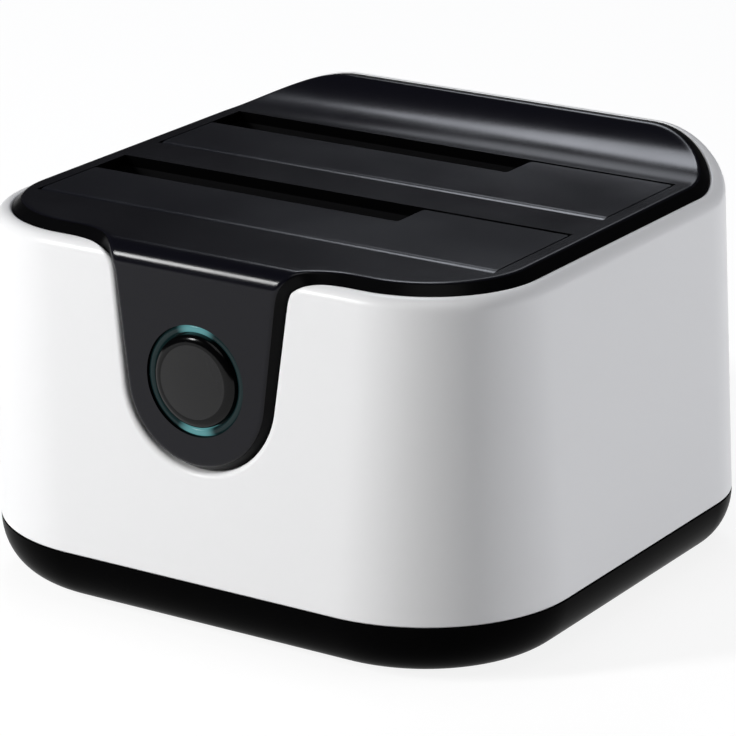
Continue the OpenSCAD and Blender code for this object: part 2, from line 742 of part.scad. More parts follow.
// Outline of the USB socket in the front view, drawn out by a distance
usb_w = 9.3;
usb_h = 8.2;
usb_top_w = 6.6;
usb_top_h = 2.8;
usb_corner = 1;
usb_deep = 16;
usb_back_t = 2;
function usb_outline(out) =
    let (w = usb_w / 2 + out, step = usb_top_w / 2 + out, low = board_top - out, mid = board_top + usb_h + out)
    [[-w, low], [w, low], [w, mid - usb_corner], [w - usb_corner, mid], [step, mid], [step, mid + usb_top_h],
        [-step, mid + usb_top_h], [-step, mid], [usb_corner - w, mid], [-w, mid - usb_corner]];

module usb_socket() {
    metal_t = 0.4;
    color(steel) translate([usb_x, 0, 0]) difference() {
        through(mouth_y - usb_deep, mouth_y) polygon(usb_outline(0));
        through(mouth_y - usb_deep + usb_back_t, mouth_y + 1) polygon(usb_outline(-metal_t));
    }
}

module usb_tongue() {
    tongue_w = 5.6;
    tongue_h = 3;
    upper_w = 4.6;
    upper_h = 1;
    set_back = 1.6;
    from = mouth_y - usb_deep + usb_back_t;
    to = mouth_y - set_back;
    low_z = board_top + usb_h / 2 - tongue_h / 2;
    upper_z = board_top + usb_h + usb_top_h / 2 - upper_h / 2;
    color(dark_plastic) translate([usb_x, 0, 0]) {
        box([-tongue_w / 2, from, low_z], [tongue_w / 2, to, low_z + tongue_h]);
        box([-upper_w / 2, from, upper_z], [upper_w / 2, to, upper_z + upper_h]);
    }
}

// Button, light ring and the small board behind the tongue
ring_in = cap_r + cap_gap;
ring_r = ring_in + ring_w;
ring_back = tongue_y + panel_t;
ring_flange = 1;
flange_gap = 0.1;
cap_flange_y = ring_back + ring_flange + flange_gap;
cap_flange_t = 1;
stem_l = 1;
stem_y = cap_flange_y + cap_flange_t + stem_l;
switch_y = stem_y + travel + 0.5;
switch_h = 3.5;
button_board_y = switch_y + switch_h;
post_screw_r = 0.9;

module light_ring() {
    color(teal) translate([0, 0, z_button]) difference() {
        union() {
            bar_y(ring_r, tongue_y + ring_set, ring_back + 0.2);
            bar_y(ring_r + 1.3, ring_back, ring_back + ring_flange);
        }
        bar_y(ring_in, tongue_y - 2, ring_back + ring_flange + 2);
    }
}

module power_button() {
    round_d = cap_proud + ring_set;
    round_w = cap_r - cap_flat_r;
    shoulder = [for (a = [90 : -15 : 0]) [cap_flat_r + round_w * cos(a), round_d * (1 - sin(a))]];
    depth = cap_flange_y - cap_front_y;
    color(button_grey) translate([0, cap_front_y, z_button]) rotate([-90, 0, 0]) rotate_extrude() polygon(concat(
        [[0, 0]], shoulder, [[cap_r, depth], [ring_in + 0.9, depth], [ring_in + 0.9, depth + cap_flange_t],
        [2.4, depth + cap_flange_t], [2.4, depth + cap_flange_t + stem_l], [0, depth + cap_flange_t + stem_l]]));
}

// Three posts on the back of the tongue carry the button board
module at_posts() {
    for (p = [[-tongue_r + 2.2, z_deck - 12], [tongue_r - 2.2, z_deck - 12], [0, z_tongue + post_r + 0.8]])
        translate([p[0], 0, p[1]]) children();
}

module button_board() {
    head_drop = 9;
    color(board_green) difference() {
        box([-tongue_r, button_board_y, z_tongue + 0.4], [tongue_r, button_board_y + board_t, z_deck - head_drop]);
        at_posts() bar_y(post_screw_r + 0.2, button_board_y - 1, button_board_y + board_t + 1);
    }
}

module button_board_screws() {
    back = button_board_y + board_t;
    post_screw_l = 4;
    post_head_h = 1;
    post_head_r = 1.7;
    color(steel) at_posts() {
        bar_y(post_head_r, back, back + post_head_h);
        bar_y(post_screw_r, button_board_y - post_screw_l, back + post_head_h);
    }
}

plunger_r = 1.6;
module power_switch() {
    half = 3;
    color(dark_plastic) translate([0, 0, z_button]) difference() {
        box([-half, switch_y, -half], [half, button_board_y, half]);
        bar_y(plunger_r + 0.1, switch_y - 1, switch_y + 2.8);
    }
}

module switch_plunger() {
    color(button_grey) translate([0, 0, z_button]) bar_y(plunger_r, stem_y, switch_y + 1.5);
}

module status_lights() {
    lamp_r = 1.2;
    lamp_l = 3;
    color(teal) for (a = [45 : 90 : 315])
        translate([(ring_in + 0.2) * cos(a), 0, z_button + (ring_in + 0.2) * sin(a)]) {
            bar_y(lamp_r, button_board_y - lamp_l, button_board_y);
            translate([0, button_board_y - lamp_l, 0]) sphere(r = lamp_r);
        }
}

// Flat lead from the back of the button board down to the main board
module button_lead() {
    lead_t = 0.5;
    lead_w = 8;
    bend = 5;
    lead_x = 8;
    lead_y = button_board_y + board_t;
    z_low = board_top;
    color(dark_plastic) translate([lead_x, 0, 0]) across(lead_w) polygon(concat(
        [[lead_y, z_button - 9]],
        arc(lead_y + bend, z_low + bend, bend, 180, 270, 8),
        [[board_front_y + 5, z_low], [board_front_y + 5, z_low + lead_t]],
        arc(lead_y + bend, z_low + bend, bend - lead_t, 270, 180, 8),
        [[lead_y + lead_t, z_button - 9]]));
}

place() white_shell();
place() base_tray();
place() top_panel();
place() flap(-flap_pitch / 2);  // front_flap
place() flap(flap_pitch / 2);  // rear_flap
place() flap_pin(-flap_pitch / 2);  // front_flap_pin
place() flap_pin(flap_pitch / 2);  // rear_flap_pin
place() flap_spring(-flap_pitch / 2);  // front_flap_spring
place() flap_spring(flap_pitch / 2);  // rear_flap_spring
place() bay(-flap_pitch / 2);  // front_bay
place() bay(flap_pitch / 2);  // rear_bay
place() panel_screws();
place() base_screws();
place() foot(-foot_x, foot_front_y);  // front_left_foot
place() foot(foot_x, foot_front_y);  // front_right_foot
place() foot(-foot_x, foot_rear_y);  // rear_left_foot
place() foot(foot_x, foot_rear_y);  // rear_right_foot
place() main_board();
place() board_screws();
place() drive_socket(-flap_pitch / 2);  // front_drive_socket
place() drive_socket(flap_pitch / 2);  // rear_drive_socket
place() socket_contacts(-flap_pitch / 2);  // front_socket_contacts
place() socket_contacts(flap_pitch / 2);  // rear_socket_contacts
place() controller_chip();
place() capacitors();
place() inductors();
place() dc_inlet();
place() dc_inlet_pin();
place() usb_socket();
place() usb_tongue();
place() power_button();
place() light_ring();
place() button_board();
place() button_board_screws();
place() power_switch();
place() switch_plunger();
place() status_lights();
place() button_lead();
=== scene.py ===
import math

import bmesh
import bpy
from mathutils import Matrix, Vector


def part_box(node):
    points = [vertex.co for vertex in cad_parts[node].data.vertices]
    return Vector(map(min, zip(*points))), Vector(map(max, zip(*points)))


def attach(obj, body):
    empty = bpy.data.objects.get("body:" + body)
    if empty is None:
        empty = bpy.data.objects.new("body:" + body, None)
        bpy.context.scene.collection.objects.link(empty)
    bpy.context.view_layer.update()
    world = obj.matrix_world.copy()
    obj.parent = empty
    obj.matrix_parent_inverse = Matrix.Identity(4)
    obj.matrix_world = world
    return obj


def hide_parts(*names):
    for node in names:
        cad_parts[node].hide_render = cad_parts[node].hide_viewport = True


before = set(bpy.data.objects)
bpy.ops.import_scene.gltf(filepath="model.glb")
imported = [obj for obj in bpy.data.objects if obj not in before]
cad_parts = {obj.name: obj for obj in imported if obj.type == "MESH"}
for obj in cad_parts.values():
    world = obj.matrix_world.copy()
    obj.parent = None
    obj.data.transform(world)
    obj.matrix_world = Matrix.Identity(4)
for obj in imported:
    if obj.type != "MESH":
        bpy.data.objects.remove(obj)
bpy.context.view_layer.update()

# Sizes in millimetres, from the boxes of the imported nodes
MM = 0.001


def node_box(name):
    low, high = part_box(name)
    return low / MM, high / MM


shell_low, shell_high = node_box("white_shell")
base_low = node_box("base_tray")[0]
panel_low, panel_high = node_box("top_panel")
front_flap_high = node_box("front_flap")[1]
rear_flap_high = node_box("rear_flap")[1]
button_low, button_high = node_box("power_button")
ring_low, ring_high = node_box("light_ring")
usb_low, usb_high = node_box("usb_socket")
inlet_pin_low, inlet_pin_high = node_box("dc_inlet_pin")
pin_low, pin_high = node_box("front_flap_pin")
rear_pin_low, rear_pin_high = node_box("rear_flap_pin")

HALF_W = shell_high.x
Y_FRONT = shell_low.y
Y_REAR = shell_high.y
Z_PART = shell_low.z
Z_BASE = base_low.z
Z_DECK = front_flap_high.z
LIP_RISE = panel_high.z - Z_DECK
TONGUE_Y = panel_low.y
FLAP_X = front_flap_high.x
Z_BUTTON = (button_low.z + button_high.z) / 2
PIN_Z = (pin_low.z + pin_high.z) / 2

# Sizes of the flaps and their holes
FLAP_D = 28.4
FLAP_T = 1.8
SLOT_L = 71.7
SLOT_D = 9.6
FLAP_EDGE_R = 4.4
FLAP_NOSE_R = 0.9
FLAP_EDGE_A = 25.0
FLAP_GAP = 0.3
SWING_GAP = 1.0
PIN_R = 1.0
RUN_GAP = 0.05
KNUCKLE_R = 1.7
KNUCKLE_L = 9.0
KNUCKLE_X = 36.0
FLAP_CORNER_R = 0.7
FLAP_SOFTEN = 0.25
ARM_UNDER_PIN = 1.2
ARM_ELBOW_BACK = 1.0
ARM_ELBOW_UP = 0.3
ARM_HEEL = 2.2
ARM_TOE = 0.6
ARM_INTO_PLATE = 0.2
ARM_BEFORE = 0.1
ARM_UNDER_PANEL = 0.1

# Sizes of the flap springs
WIRE_R = 0.28
COIL_R = 1.7
COIL_TURNS = 6.25
LEG_L = 9.0
LEG_BEND = 3.0
POCKET_AHEAD = 2.4
LEG_GAP = 0.005
LEG_DIP = 0.05
TAIL_GAP = 0.05
TAIL_TOP = -2.2
TAIL_END = -4.4

# Sizes of the top panel
DECK_SIDE = 3.5
DECK_FRONT = 14.4
COVE_START = 1.4
COVE_RUN = 18.1
BEVEL_W = 2.0
BEVEL_H = 1.9
LIP_DROP = 0.3
DECK_FRONT_R = 20.5
DECK_REAR_R = 19.6
PANEL_T = 2.2
FIT_GAP = 0.12
CREASE_R = 1.5
ROLL_R = 4.4
TONGUE_R = 15.4
TONGUE_L = 41.2
TONGUE_TOP_W = 35.5
FLARE_R = 13.6
TONGUE_BEVEL_W = 1.5
TONGUE_BEVEL_H = 2.4
LIP_ROUND = 0.8
INNER_MARGIN = 0.4
HOLE_SOFTEN = 0.3

# Sizes of the shell and the base
RIM_W = 3.3
EDGE_R = 2.6
WALL = 2.2
FRONT_R = 32.0
REAR_R = 24.0
BASE_IN = 9.5
EDGE_FILLET = 0.45
NOTCH_FILLET = 1.1
SEAM = 0.25
RIM_DEEP = 2.5
SCREW_HEAD_R = 2.8
SCREW_GAP = 0.3
COUNTERBORE_UP = 2.0
FLOOR_GAP = 0.05

# Sizes of the openings for the rear sockets
SOCKET_GAP = 0.4
COLLAR_R = 4.05
USB_STEP_X = 3.3
USB_STEP_H = 2.8
USB_CORNER = 1.0

# Sizes of the button and its light ring
CAP_R = 9.2
CAP_FLAT_R = 7.3
CAP_DOME = 0.4
CAP_FLANGE_Y = -54.45
CAP_FLANGE_T = 1.2
STEM_R = 2.4
RING_IN = 9.5
RING_R = 10.9
RING_SET = 0.4
RING_BULGE = 0.6
RING_FLANGE_T = 1.0

# Angles in degrees over which an edge stays hard
SHELL_HARD_A = 38
FLAP_HARD_A = 40
PANEL_HARD_A = 50
WIRE_HARD_A = 60

# Places that follow from the sizes
Y_COVE = rear_flap_high.y + COVE_START
Y_LIP = Y_COVE + COVE_RUN
Y_DECK = front_flap_high.y - FLAP_D - DECK_FRONT
DECK_X = FLAP_X + DECK_SIDE
COVE_R = (COVE_RUN ** 2 + LIP_RISE ** 2) / (2 * LIP_RISE)
RIM_OUT = BEVEL_W + RIM_W
REAR_CX = DECK_X - DECK_REAR_R
REAR_CY = Y_LIP - DECK_REAR_R
FRONT_CX = DECK_X - DECK_FRONT_R
FRONT_CY = Y_DECK + DECK_FRONT_R
FOOT_CX = HALF_W - FRONT_R
ROLL_Y = TONGUE_Y + ROLL_R
ROLL_L = ROLL_R * math.pi / 2
CREASE_S = ROLL_Y - Y_DECK
RIM_S = CREASE_S + BEVEL_W
FLARE_X = TONGUE_TOP_W / 2 + FLARE_R
FLARE_S = CREASE_S + FLARE_R
ROUND_S = ROLL_L + TONGUE_L - ROLL_R - TONGUE_R
FRONT_RIM_Z = Z_DECK - BEVEL_H
FOOT_S = ROLL_L + FRONT_RIM_Z - EDGE_R - Z_PART
HOLE_X = FLAP_X + FLAP_GAP
FRONT_HOLE = (front_flap_high.y - FLAP_D - FLAP_GAP, front_flap_high.y + SWING_GAP)
REAR_HOLE = (rear_flap_high.y - FLAP_D - FLAP_GAP, rear_flap_high.y + SWING_GAP)
USB_X = (usb_low.x + usb_high.x) / 2
INLET_X = (inlet_pin_low.x + inlet_pin_high.x) / 2
INLET_Z = (inlet_pin_low.z + inlet_pin_high.z) / 2
PIN_Y = (pin_low.y + pin_high.y) / 2
REAR_PIN_Y = (rear_pin_low.y + rear_pin_high.y) / 2
BAND_A = math.atan2(BEVEL_H, BEVEL_W)
CREASE_T = CREASE_R * math.tan(BAND_A / 2)
INNER_OUT = -CREASE_T - INNER_MARGIN

flare_to_round = Vector((FLARE_X, FLARE_S - ROUND_S))
SIDE_A = math.degrees(math.atan2(flare_to_round.y, flare_to_round.x)
                      + math.acos((FLARE_R + TONGUE_R) / flare_to_round.length))


# Outlines
def spread(first, last, steps, *extra):
    """Even values from first to last, with the extra ones put in their places."""
    even = [first + (last - first) * i / steps for i in range(steps + 1)]
    return sorted(even + list(extra), reverse=last < first)


def arc(cx, cy, r, angles):
    return [(cx + r * math.cos(math.radians(a)), cy + r * math.sin(math.radians(a))) for a in angles]


def mirrored(points):
    """A right half, from the middle of the rear to the middle of the front, made whole."""
    left = [Vector((-p.x, p.y, p.z)) for p in reversed(points) if p.x > 1e-6]
    return points + left


def angle_at(y, cy, r):
    return math.degrees(math.asin((y - cy) / r))


REAR_ANGLES = spread(90, 0, 40, angle_at(REAR_HOLE[1], REAR_CY, DECK_REAR_R + INNER_OUT))
FRONT_ANGLES = spread(0, -90, 36, angle_at(FRONT_HOLE[0], FRONT_CY, DECK_FRONT_R + INNER_OUT))
SIDE_YS = spread(REAR_CY, FRONT_CY, 12, REAR_HOLE[0], FRONT_HOLE[1])[1:-1]
ROLL_END_A = -180 - angle_at(ROLL_L, FLARE_S, FLARE_R - INNER_OUT)
FLARE_ANGLES = spread(-90, SIDE_A - 180, 40, ROLL_END_A)
ROUND_ANGLES = spread(SIDE_A, 90, 28)
SIDE_STEPS = 10


def smooth(t):
    """A share from 0 to 1 that starts and ends gently."""
    return t * t * (3 - 2 * t)


flare_shares = [smooth((a + 90) / (SIDE_A - 90)) for a in FLARE_ANGLES]
TONGUE_SHARE = flare_shares + [1.0] * (SIDE_STEPS - 1 + len(ROUND_ANGLES))


def deck_edge(out):
    """Right half of the deck's outline, drawn out by a distance: rear corner, side, front corner."""
    rear = arc(REAR_CX, REAR_CY, DECK_REAR_R + out, REAR_ANGLES)
    side = [(DECK_X + out, y) for y in SIDE_YS]
    return rear + side + arc(FRONT_CX, FRONT_CY, DECK_FRONT_R + out, FRONT_ANGLES)


def between(deck_value, tongue_value, share):
    return deck_value + (tongue_value - deck_value) * share


def tongue_edge(out, end_out):
    """Right edge of the tongue as (x, distance down the rolled surface): flare, sloping side, round end.

    It is drawn out by one distance where it leaves the deck, and by another along the side and the end."""
    flare = []
    for a, share in zip(FLARE_ANGLES, TONGUE_SHARE):
        flare += arc(FLARE_X, FLARE_S, FLARE_R - between(out, end_out, share), [a])
    end = arc(0, ROUND_S, TONGUE_R + end_out, ROUND_ANGLES)
    end[-1] = (0.0, end[-1][1])
    (x0, s0), (x1, s1) = flare[-1], end[0]
    shares = [i / SIDE_STEPS for i in range(1, SIDE_STEPS)]
    side = [(x0 + (x1 - x0) * t, s0 + (s1 - s0) * t) for t in shares]
    return flare + side + end


def foot_edge(inset):
    """Right half of the outline at the parting line, with a point for each point of the deck's outline."""
    rear = arc(HALF_W - REAR_R, Y_REAR - REAR_R, REAR_R - inset, REAR_ANGLES)
    front = arc(FOOT_CX, Y_FRONT + FRONT_R, FRONT_R - inset, FRONT_ANGLES)
    top, low = Y_REAR - REAR_R, Y_FRONT + FRONT_R
    shares = [(y - FRONT_CY) / (REAR_CY - FRONT_CY) for y in SIDE_YS]
    return rear + [(HALF_W - inset, low + (top - low) * t) for t in shares] + front


def deck_rise(y):
    """How far the cove has risen at a distance back."""
    run = min(max(y, Y_COVE), Y_LIP) - Y_COVE
    return COVE_R - math.sqrt(COVE_R ** 2 - run ** 2)


def cove_slope(rise):
    """How steeply the cove climbs where it has risen by a height."""
    up = COVE_R - rise
    return math.sqrt(COVE_R ** 2 - up ** 2) / up


CREASE = deck_edge(0)
CREASE_RISE = [deck_rise(y) for x, y in CREASE]
BAND_SHARE = [1 + (LIP_DROP / BEVEL_H - 1) * rise / LIP_RISE for rise in CREASE_RISE]
RIM_Z = [Z_DECK + rise - BEVEL_H * share for rise, share in zip(CREASE_RISE, BAND_SHARE)]
outward = [math.sin(math.radians(a)) for a in REAR_ANGLES] + [0.0] * (len(CREASE) - len(REAR_ANGLES))
LIP_SLOPE = [cove_slope(rise) * part for rise, part in zip(CREASE_RISE, outward)]


def lip_rounding(out, slope):
    """How far the rounded crest of the lip lies below the sharp one, at a distance out of the crease."""
    if abs(out) >= LIP_ROUND:
        return 0.0
    return slope * ((out + LIP_ROUND) ** 2 / (4 * LIP_ROUND) - max(out, 0.0))


# Meshes
def finish_mesh(name, bm, body, node, materials, sharp):
    """One piece from a bmesh in millimetres; edges over the sharp angle stay hard."""
    bmesh.ops.scale(bm, vec=(MM, MM, MM), verts=bm.verts)
    mesh = bpy.data.meshes.new(name)
    bm.to_mesh(mesh)
    bm.free()
    piece = bpy.data.objects.new(name, mesh)
    bpy.context.collection.objects.link(piece)
    for material in materials:
        mesh.materials.append(material)
    shade(piece, sharp)
    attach(piece, body)
    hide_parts(node)
    return piece


def shade(piece, sharp):
    piece.data.polygons.foreach_set("use_smooth", [True] * len(piece.data.polygons))
    piece.data.set_sharp_from_angle(angle=math.radians(sharp))


def add_rings(bm, rings, closed):
    """Faces between rings of equal length; a closed loft joins the last ring to the first."""
    rows = [[bm.verts.new(p) for p in ring] for ring in rings]
    faces = []
    pairs = list(zip(rows, rows[1:]))
    if closed:
        pairs.append((rows[-1], rows[0]))
    for a, b in pairs:
        band = []
        for i in range(len(a)):
            j = (i + 1) % len(a)
            band.append(bm.faces.new((a[i], a[j], b[j], b[i])))
        faces.append(band)
    return rows, faces


def add_lathe(bm, profile, centre, axis, steps=128):
    """A closed ring of (radius, distance along the axis) turned round an axis through a point."""
    turn = axis.to_track_quat("Z", "Y").to_matrix()
    rings = []
    for i in range(steps):
        a = 2 * math.pi * i / steps
        rings.append([centre + turn @ Vector((r * math.cos(a), r * math.sin(a), d)) for r, d in profile])
    add_rings(bm, rings, True)
    bmesh.ops.remove_doubles(bm, verts=bm.verts, dist=1e-5)


def cutter(bm):
    """A hidden object from a bmesh in millimetres, for cutting."""
    bmesh.ops.recalc_face_normals(bm, faces=bm.faces)
    bmesh.ops.scale(bm, vec=(MM, MM, MM), verts=bm.verts)
    mesh = bpy.data.meshes.new("cutter")
    bm.to_mesh(mesh)
    bm.free()
    tool = bpy.data.objects.new("cutter", mesh)
    bpy.context.collection.objects.link(tool)
    return tool


def cut(piece, tools, sharp, crossing=False):
    """Takes the tools away from a piece, whose own parts may be crossing, and deletes them."""
    for tool in tools:
        boolean = piece.modifiers.new("cut", "BOOLEAN")
        boolean.solver = "EXACT"
        boolean.operation = "DIFFERENCE"
        boolean.use_self = crossing
        boolean.object = tool
    depsgraph = bpy.context.evaluated_depsgraph_get()
    cut_mesh = bpy.data.meshes.new_from_object(piece.evaluated_get(depsgraph))
    piece.modifiers.clear()
    piece.data = cut_mesh
    for tool in tools:
        bpy.data.objects.remove(tool)
    shade(piece, sharp)


def bar_tool(radius, start, end, steps=64):
    """A cutting cylinder between two points."""
    bm = bmesh.new()
    length = (end - start).length
    bmesh.ops.create_cone(bm, cap_ends=True, segments=steps, radius1=radius, radius2=radius, depth=length)
    turn = (end - start).to_track_quat("Z", "Y").to_matrix().to_4x4()
    bmesh.ops.transform(bm, matrix=Matrix.Translation((start + end) / 2) @ turn, verts=bm.verts)
    return cutter(bm)


def add_prism(bm, outline, extent):
    """A prism from an outline of points, drawn along a vector."""
    low = [bm.verts.new(p) for p in outline]
    high = [bm.verts.new(p + extent) for p in outline]
    bm.faces.new(low)
    bm.faces.new(reversed(high))
    for i in range(len(low)):
        j = (i + 1) % len(low)
        bm.faces.new((low[i], high[i], high[j], low[j]))


def round_edges(piece, width, segments, angle, material=-1):
    """Small moulded radius on every edge over an angle, with even shading on the flats.

    The radius takes the finish of the faces beside it, unless the number of a finish is given."""
    bevel = piece.modifiers.new("rounding", "BEVEL")
    bevel.width = width * MM
    bevel.segments = segments
    bevel.material = material
    bevel.limit_method = "ANGLE"
    bevel.angle_limit = math.radians(angle)
    bevel.use_clamp_overlap = True
    weighted = piece.modifiers.new("normals", "WEIGHTED_NORMAL")
    weighted.keep_sharp = True


# Materials
def tones(colour, share):
    return [tuple(min(c * k, 1.0) for c in colour) + (1.0,) for k in (1 - share, 1 + share)]


def surface(name, colour, rough, rough_spread=0.05, metallic=0.0, specular=0.5, grain=0.15, relief=0.002,
            patch=25.0, mottle=0.03):
    """A moulded or metal surface: fine grain in the relief, broad patches in colour and roughness."""
    material = bpy.data.materials.new(name)
    material.use_nodes = True
    nodes = material.node_tree.nodes
    links = material.node_tree.links
    bsdf = nodes["Principled BSDF"]
    bsdf.inputs["Metallic"].default_value = metallic
    bsdf.inputs["Specular IOR Level"].default_value = specular
    place = nodes.new("ShaderNodeTexCoord")
    fine = nodes.new("ShaderNodeTexNoise")
    fine.inputs["Scale"].default_value = 1 / (grain * MM)
    fine.inputs["Detail"].default_value = 3
    broad = nodes.new("ShaderNodeTexNoise")
    broad.inputs["Scale"].default_value = 1 / (patch * MM)
    broad.inputs["Detail"].default_value = 4
    for noise in (fine, broad):
        links.new(place.outputs["Object"], noise.inputs["Vector"])
    tint = nodes.new("ShaderNodeMix")
    tint.data_type = "RGBA"
    first_colour, second_colour, mixed_colour = tint.inputs[6], tint.inputs[7], tint.outputs[2]
    first_colour.default_value, second_colour.default_value = tones(colour, mottle)
    links.new(broad.outputs["Fac"], tint.inputs["Factor"])
    links.new(mixed_colour, bsdf.inputs["Base Color"])
    polish = nodes.new("ShaderNodeMapRange")
    polish.inputs["From Min"].default_value = 0.3
    polish.inputs["From Max"].default_value = 0.7
    polish.inputs["To Min"].default_value = rough - rough_spread
    polish.inputs["To Max"].default_value = rough + rough_spread
    links.new(broad.outputs["Fac"], polish.inputs["Value"])
    links.new(polish.outputs["Result"], bsdf.inputs["Roughness"])
    bump = nodes.new("ShaderNodeBump")
    bump.inputs["Strength"].default_value = 1.0
    bump.inputs["Distance"].default_value = relief * MM
    links.new(fine.outputs["Fac"], bump.inputs["Height"])
    links.new(bump.outputs["Normal"], bsdf.inputs["Normal"])
    return material


white = surface("white_satin_plastic", (0.86, 0.86, 0.865), 0.32, 0.03,
                grain=0.5, relief=0.004, mottle=0.006)
deck_black = surface("deck_black_satin", (0.004, 0.004, 0.0068), 0.19, 0.03, specular=0.22, relief=0.001)
# Painted shade: the sloping edge band is a darker, less glossy copy of the deck's black, standing in for the
# dark surroundings it would mirror
band_painted_shade = surface("band_painted_shade", (0.002, 0.002, 0.0023), 0.3, 0.03, specular=0.06, relief=0.001)
# Painted shade: the walls round the flap holes and along the panel's edges are nearly black and without
# gloss, standing in for the shade in the gaps
rim_painted_shade = surface("hole_rim_painted_shade", (0.001, 0.001, 0.0011), 0.4, 0.05, specular=0.015, relief=0.001)
flap_black = surface("flap_black_satin", (0.0065, 0.0068, 0.0105), 0.2, 0.03, specular=0.26, relief=0.001)
base_black = surface("base_black_gloss", (0.0015, 0.0015, 0.0016), 0.3, 0.03, specular=0.008, relief=0.001)
cap_grey = surface("cap_grey_satin", (0.009, 0.009, 0.0095), 0.26, 0.03, specular=0.3, relief=0.001)
# Painted shade: the cap's shoulder is a darker, less glossy copy of the cap's finish, standing in for the
# dark surroundings it would mirror
cap_painted_shade = surface("cap_edge_painted_shade", (0.001, 0.001, 0.0012), 0.15, 0.02, specular=0.18, relief=0.001)
inner_black = surface("inner_black_matt", (0.0045, 0.0045, 0.005), 0.5, 0.06, specular=0.12, relief=0.006)
socket_black = surface("socket_black", (0.012, 0.012, 0.013), 0.5, 0.06, specular=0.35, relief=0.006)
board_green = surface("circuit_board_green", (0.02, 0.16, 0.07), 0.4, 0.08,
                      grain=0.6, relief=0.01, mottle=0.15)
steel = surface("steel", (0.6, 0.61, 0.63), 0.32, 0.08, metallic=1.0, grain=0.08, relief=0.002, patch=4.0)
spring_steel = surface("spring_steel", (0.5, 0.51, 0.53), 0.36, 0.08, metallic=1.0, grain=0.06, patch=2.0)
gold = surface("gold_plate", (0.75, 0.56, 0.22), 0.3, 0.06, metallic=1.0, grain=0.06, patch=2.0)
can_metal = surface("can_metal", (0.7, 0.71, 0.73), 0.35, 0.08, metallic=1.0, grain=0.1, patch=4.0)
rubber = surface("foot_rubber", (0.015, 0.015, 0.016), 0.8, 0.08, specular=0.25,
                 grain=0.25, relief=0.02, mottle=0.1)


def light_guide():
    """Clear teal plastic that glows most beside its lamps, above and below the button."""
    material = surface("light_guide_teal", (0.005, 0.01, 0.011), 0.16, 0.03, specular=0.16, relief=0.001)
    nodes = material.node_tree.nodes
    links = material.node_tree.links
    bsdf = nodes["Principled BSDF"]
    bsdf.inputs["Emission Color"].default_value = (0.14, 0.4, 0.42, 1.0)
    place = nodes.new("ShaderNodeTexCoord")
    from_axis = nodes.new("ShaderNodeVectorMath")
    from_axis.operation = "SUBTRACT"
    from_axis.inputs[1].default_value = Vector((0, 0, Z_BUTTON)) * MM
    across = nodes.new("ShaderNodeVectorMath")
    across.operation = "MULTIPLY"
    across.inputs[1].default_value = (1, 0, 1)
    spoke = nodes.new("ShaderNodeVectorMath")
    spoke.operation = "NORMALIZE"
    parts = nodes.new("ShaderNodeSeparateXYZ")
    upright = nodes.new("ShaderNodeMath")
    upright.operation = "ABSOLUTE"
    lamp = nodes.new("ShaderNodeMapRange")
    lamp.interpolation_type = "SMOOTHSTEP"
    lamp.inputs["From Min"].default_value = 0.9
    lamp.inputs["To Min"].default_value = 0.03
    lamp.inputs["To Max"].default_value = 0.7
    links.new(place.outputs["Object"], from_axis.inputs[0])
    links.new(from_axis.outputs["Vector"], across.inputs[0])
    links.new(across.outputs["Vector"], spoke.inputs[0])
    links.new(spoke.outputs["Vector"], parts.inputs["Vector"])
    links.new(parts.outputs["Z"], upright.inputs[0])
    links.new(upright.outputs["Value"], lamp.inputs["Value"])
    links.new(lamp.outputs["Result"], bsdf.inputs["Emission Strength"])
    return material


teal_guide = light_guide()

NODE_MATERIALS = {
    "front_bay": inner_black, "rear_bay": inner_black, "inductors": inner_black, "button_lead": inner_black,
    "switch_plunger": inner_black, "front_drive_socket": socket_black, "rear_drive_socket": socket_black,
    "controller_chip": socket_black, "dc_inlet": socket_black, "usb_tongue": socket_black,
    "power_switch": socket_black, "main_board": board_green, "button_board": board_green,
    "front_flap_pin": steel, "rear_flap_pin": steel, "panel_screws": steel, "base_screws": steel,
    "board_screws": steel, "button_board_screws": steel, "dc_inlet_pin": steel, "usb_socket": steel,
    "front_socket_contacts": gold, "rear_socket_contacts": gold, "capacitors": can_metal,
    "front_left_foot": rubber, "front_right_foot": rubber,
    "rear_left_foot": rubber, "rear_right_foot": rubber,
    "status_lights": teal_guide,
}
for node, material in NODE_MATERIALS.items():
    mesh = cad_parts[node].data
    mesh.materials.clear()
    mesh.materials.append(material)


# White shell: rim, rounded edge and leaning walls as one skin, open for the tongue, with an inner face
def rim_out_at(s):
    """How far out of the crease the shell's skin lies, and how far below its rim, at a distance down it."""
    flat = RIM_OUT - EDGE_R
    if s < 0:
        return flat + (flat - BEVEL_W) * s / -RIM_S, 0.0
    a = math.radians(90 * min(s / ROLL_L, 1.0))
    return flat + EDGE_R * math.sin(a), EDGE_R * (1 - math.cos(a))


def roll_angle(s):
    return math.radians(90 * min(max(s / ROLL_L, 0.0), 1.0))


def wall_share(s):
    return max(0.0, (s - ROLL_L) / (FOOT_S - ROLL_L))


def shell_columns(s, sink):
    """Points of the shell's skin below the deck's outline, at a distance down it, sunk into the wall."""
    out, drop = rim_out_at(s)
    a = roll_angle(s)
    tops = deck_edge(out - sink * math.sin(a))
    drop += sink * math.cos(a)
    points = []
    for top, rim_z, foot in zip(tops, RIM_Z, foot_edge(sink)):
        points.append(Vector((*top, rim_z - drop)).lerp(Vector((*foot, Z_PART)), wall_share(s)))
    return points


def shell_front(x, s, sink):
    """Point of the shell's front wall at a distance across and down, sunk into the wall."""
    out, drop = rim_out_at(s)
    a = roll_angle(s)
    top = Vector((x, Y_DECK - out + sink * math.sin(a), FRONT_RIM_Z - drop - sink * math.cos(a)))
    return top.lerp(Vector((x, Y_FRONT + sink, Z_PART)), wall_share(s))


def front_half_width(s):
    return FRONT_CX + (FOOT_CX - FRONT_CX) * wall_share(s)


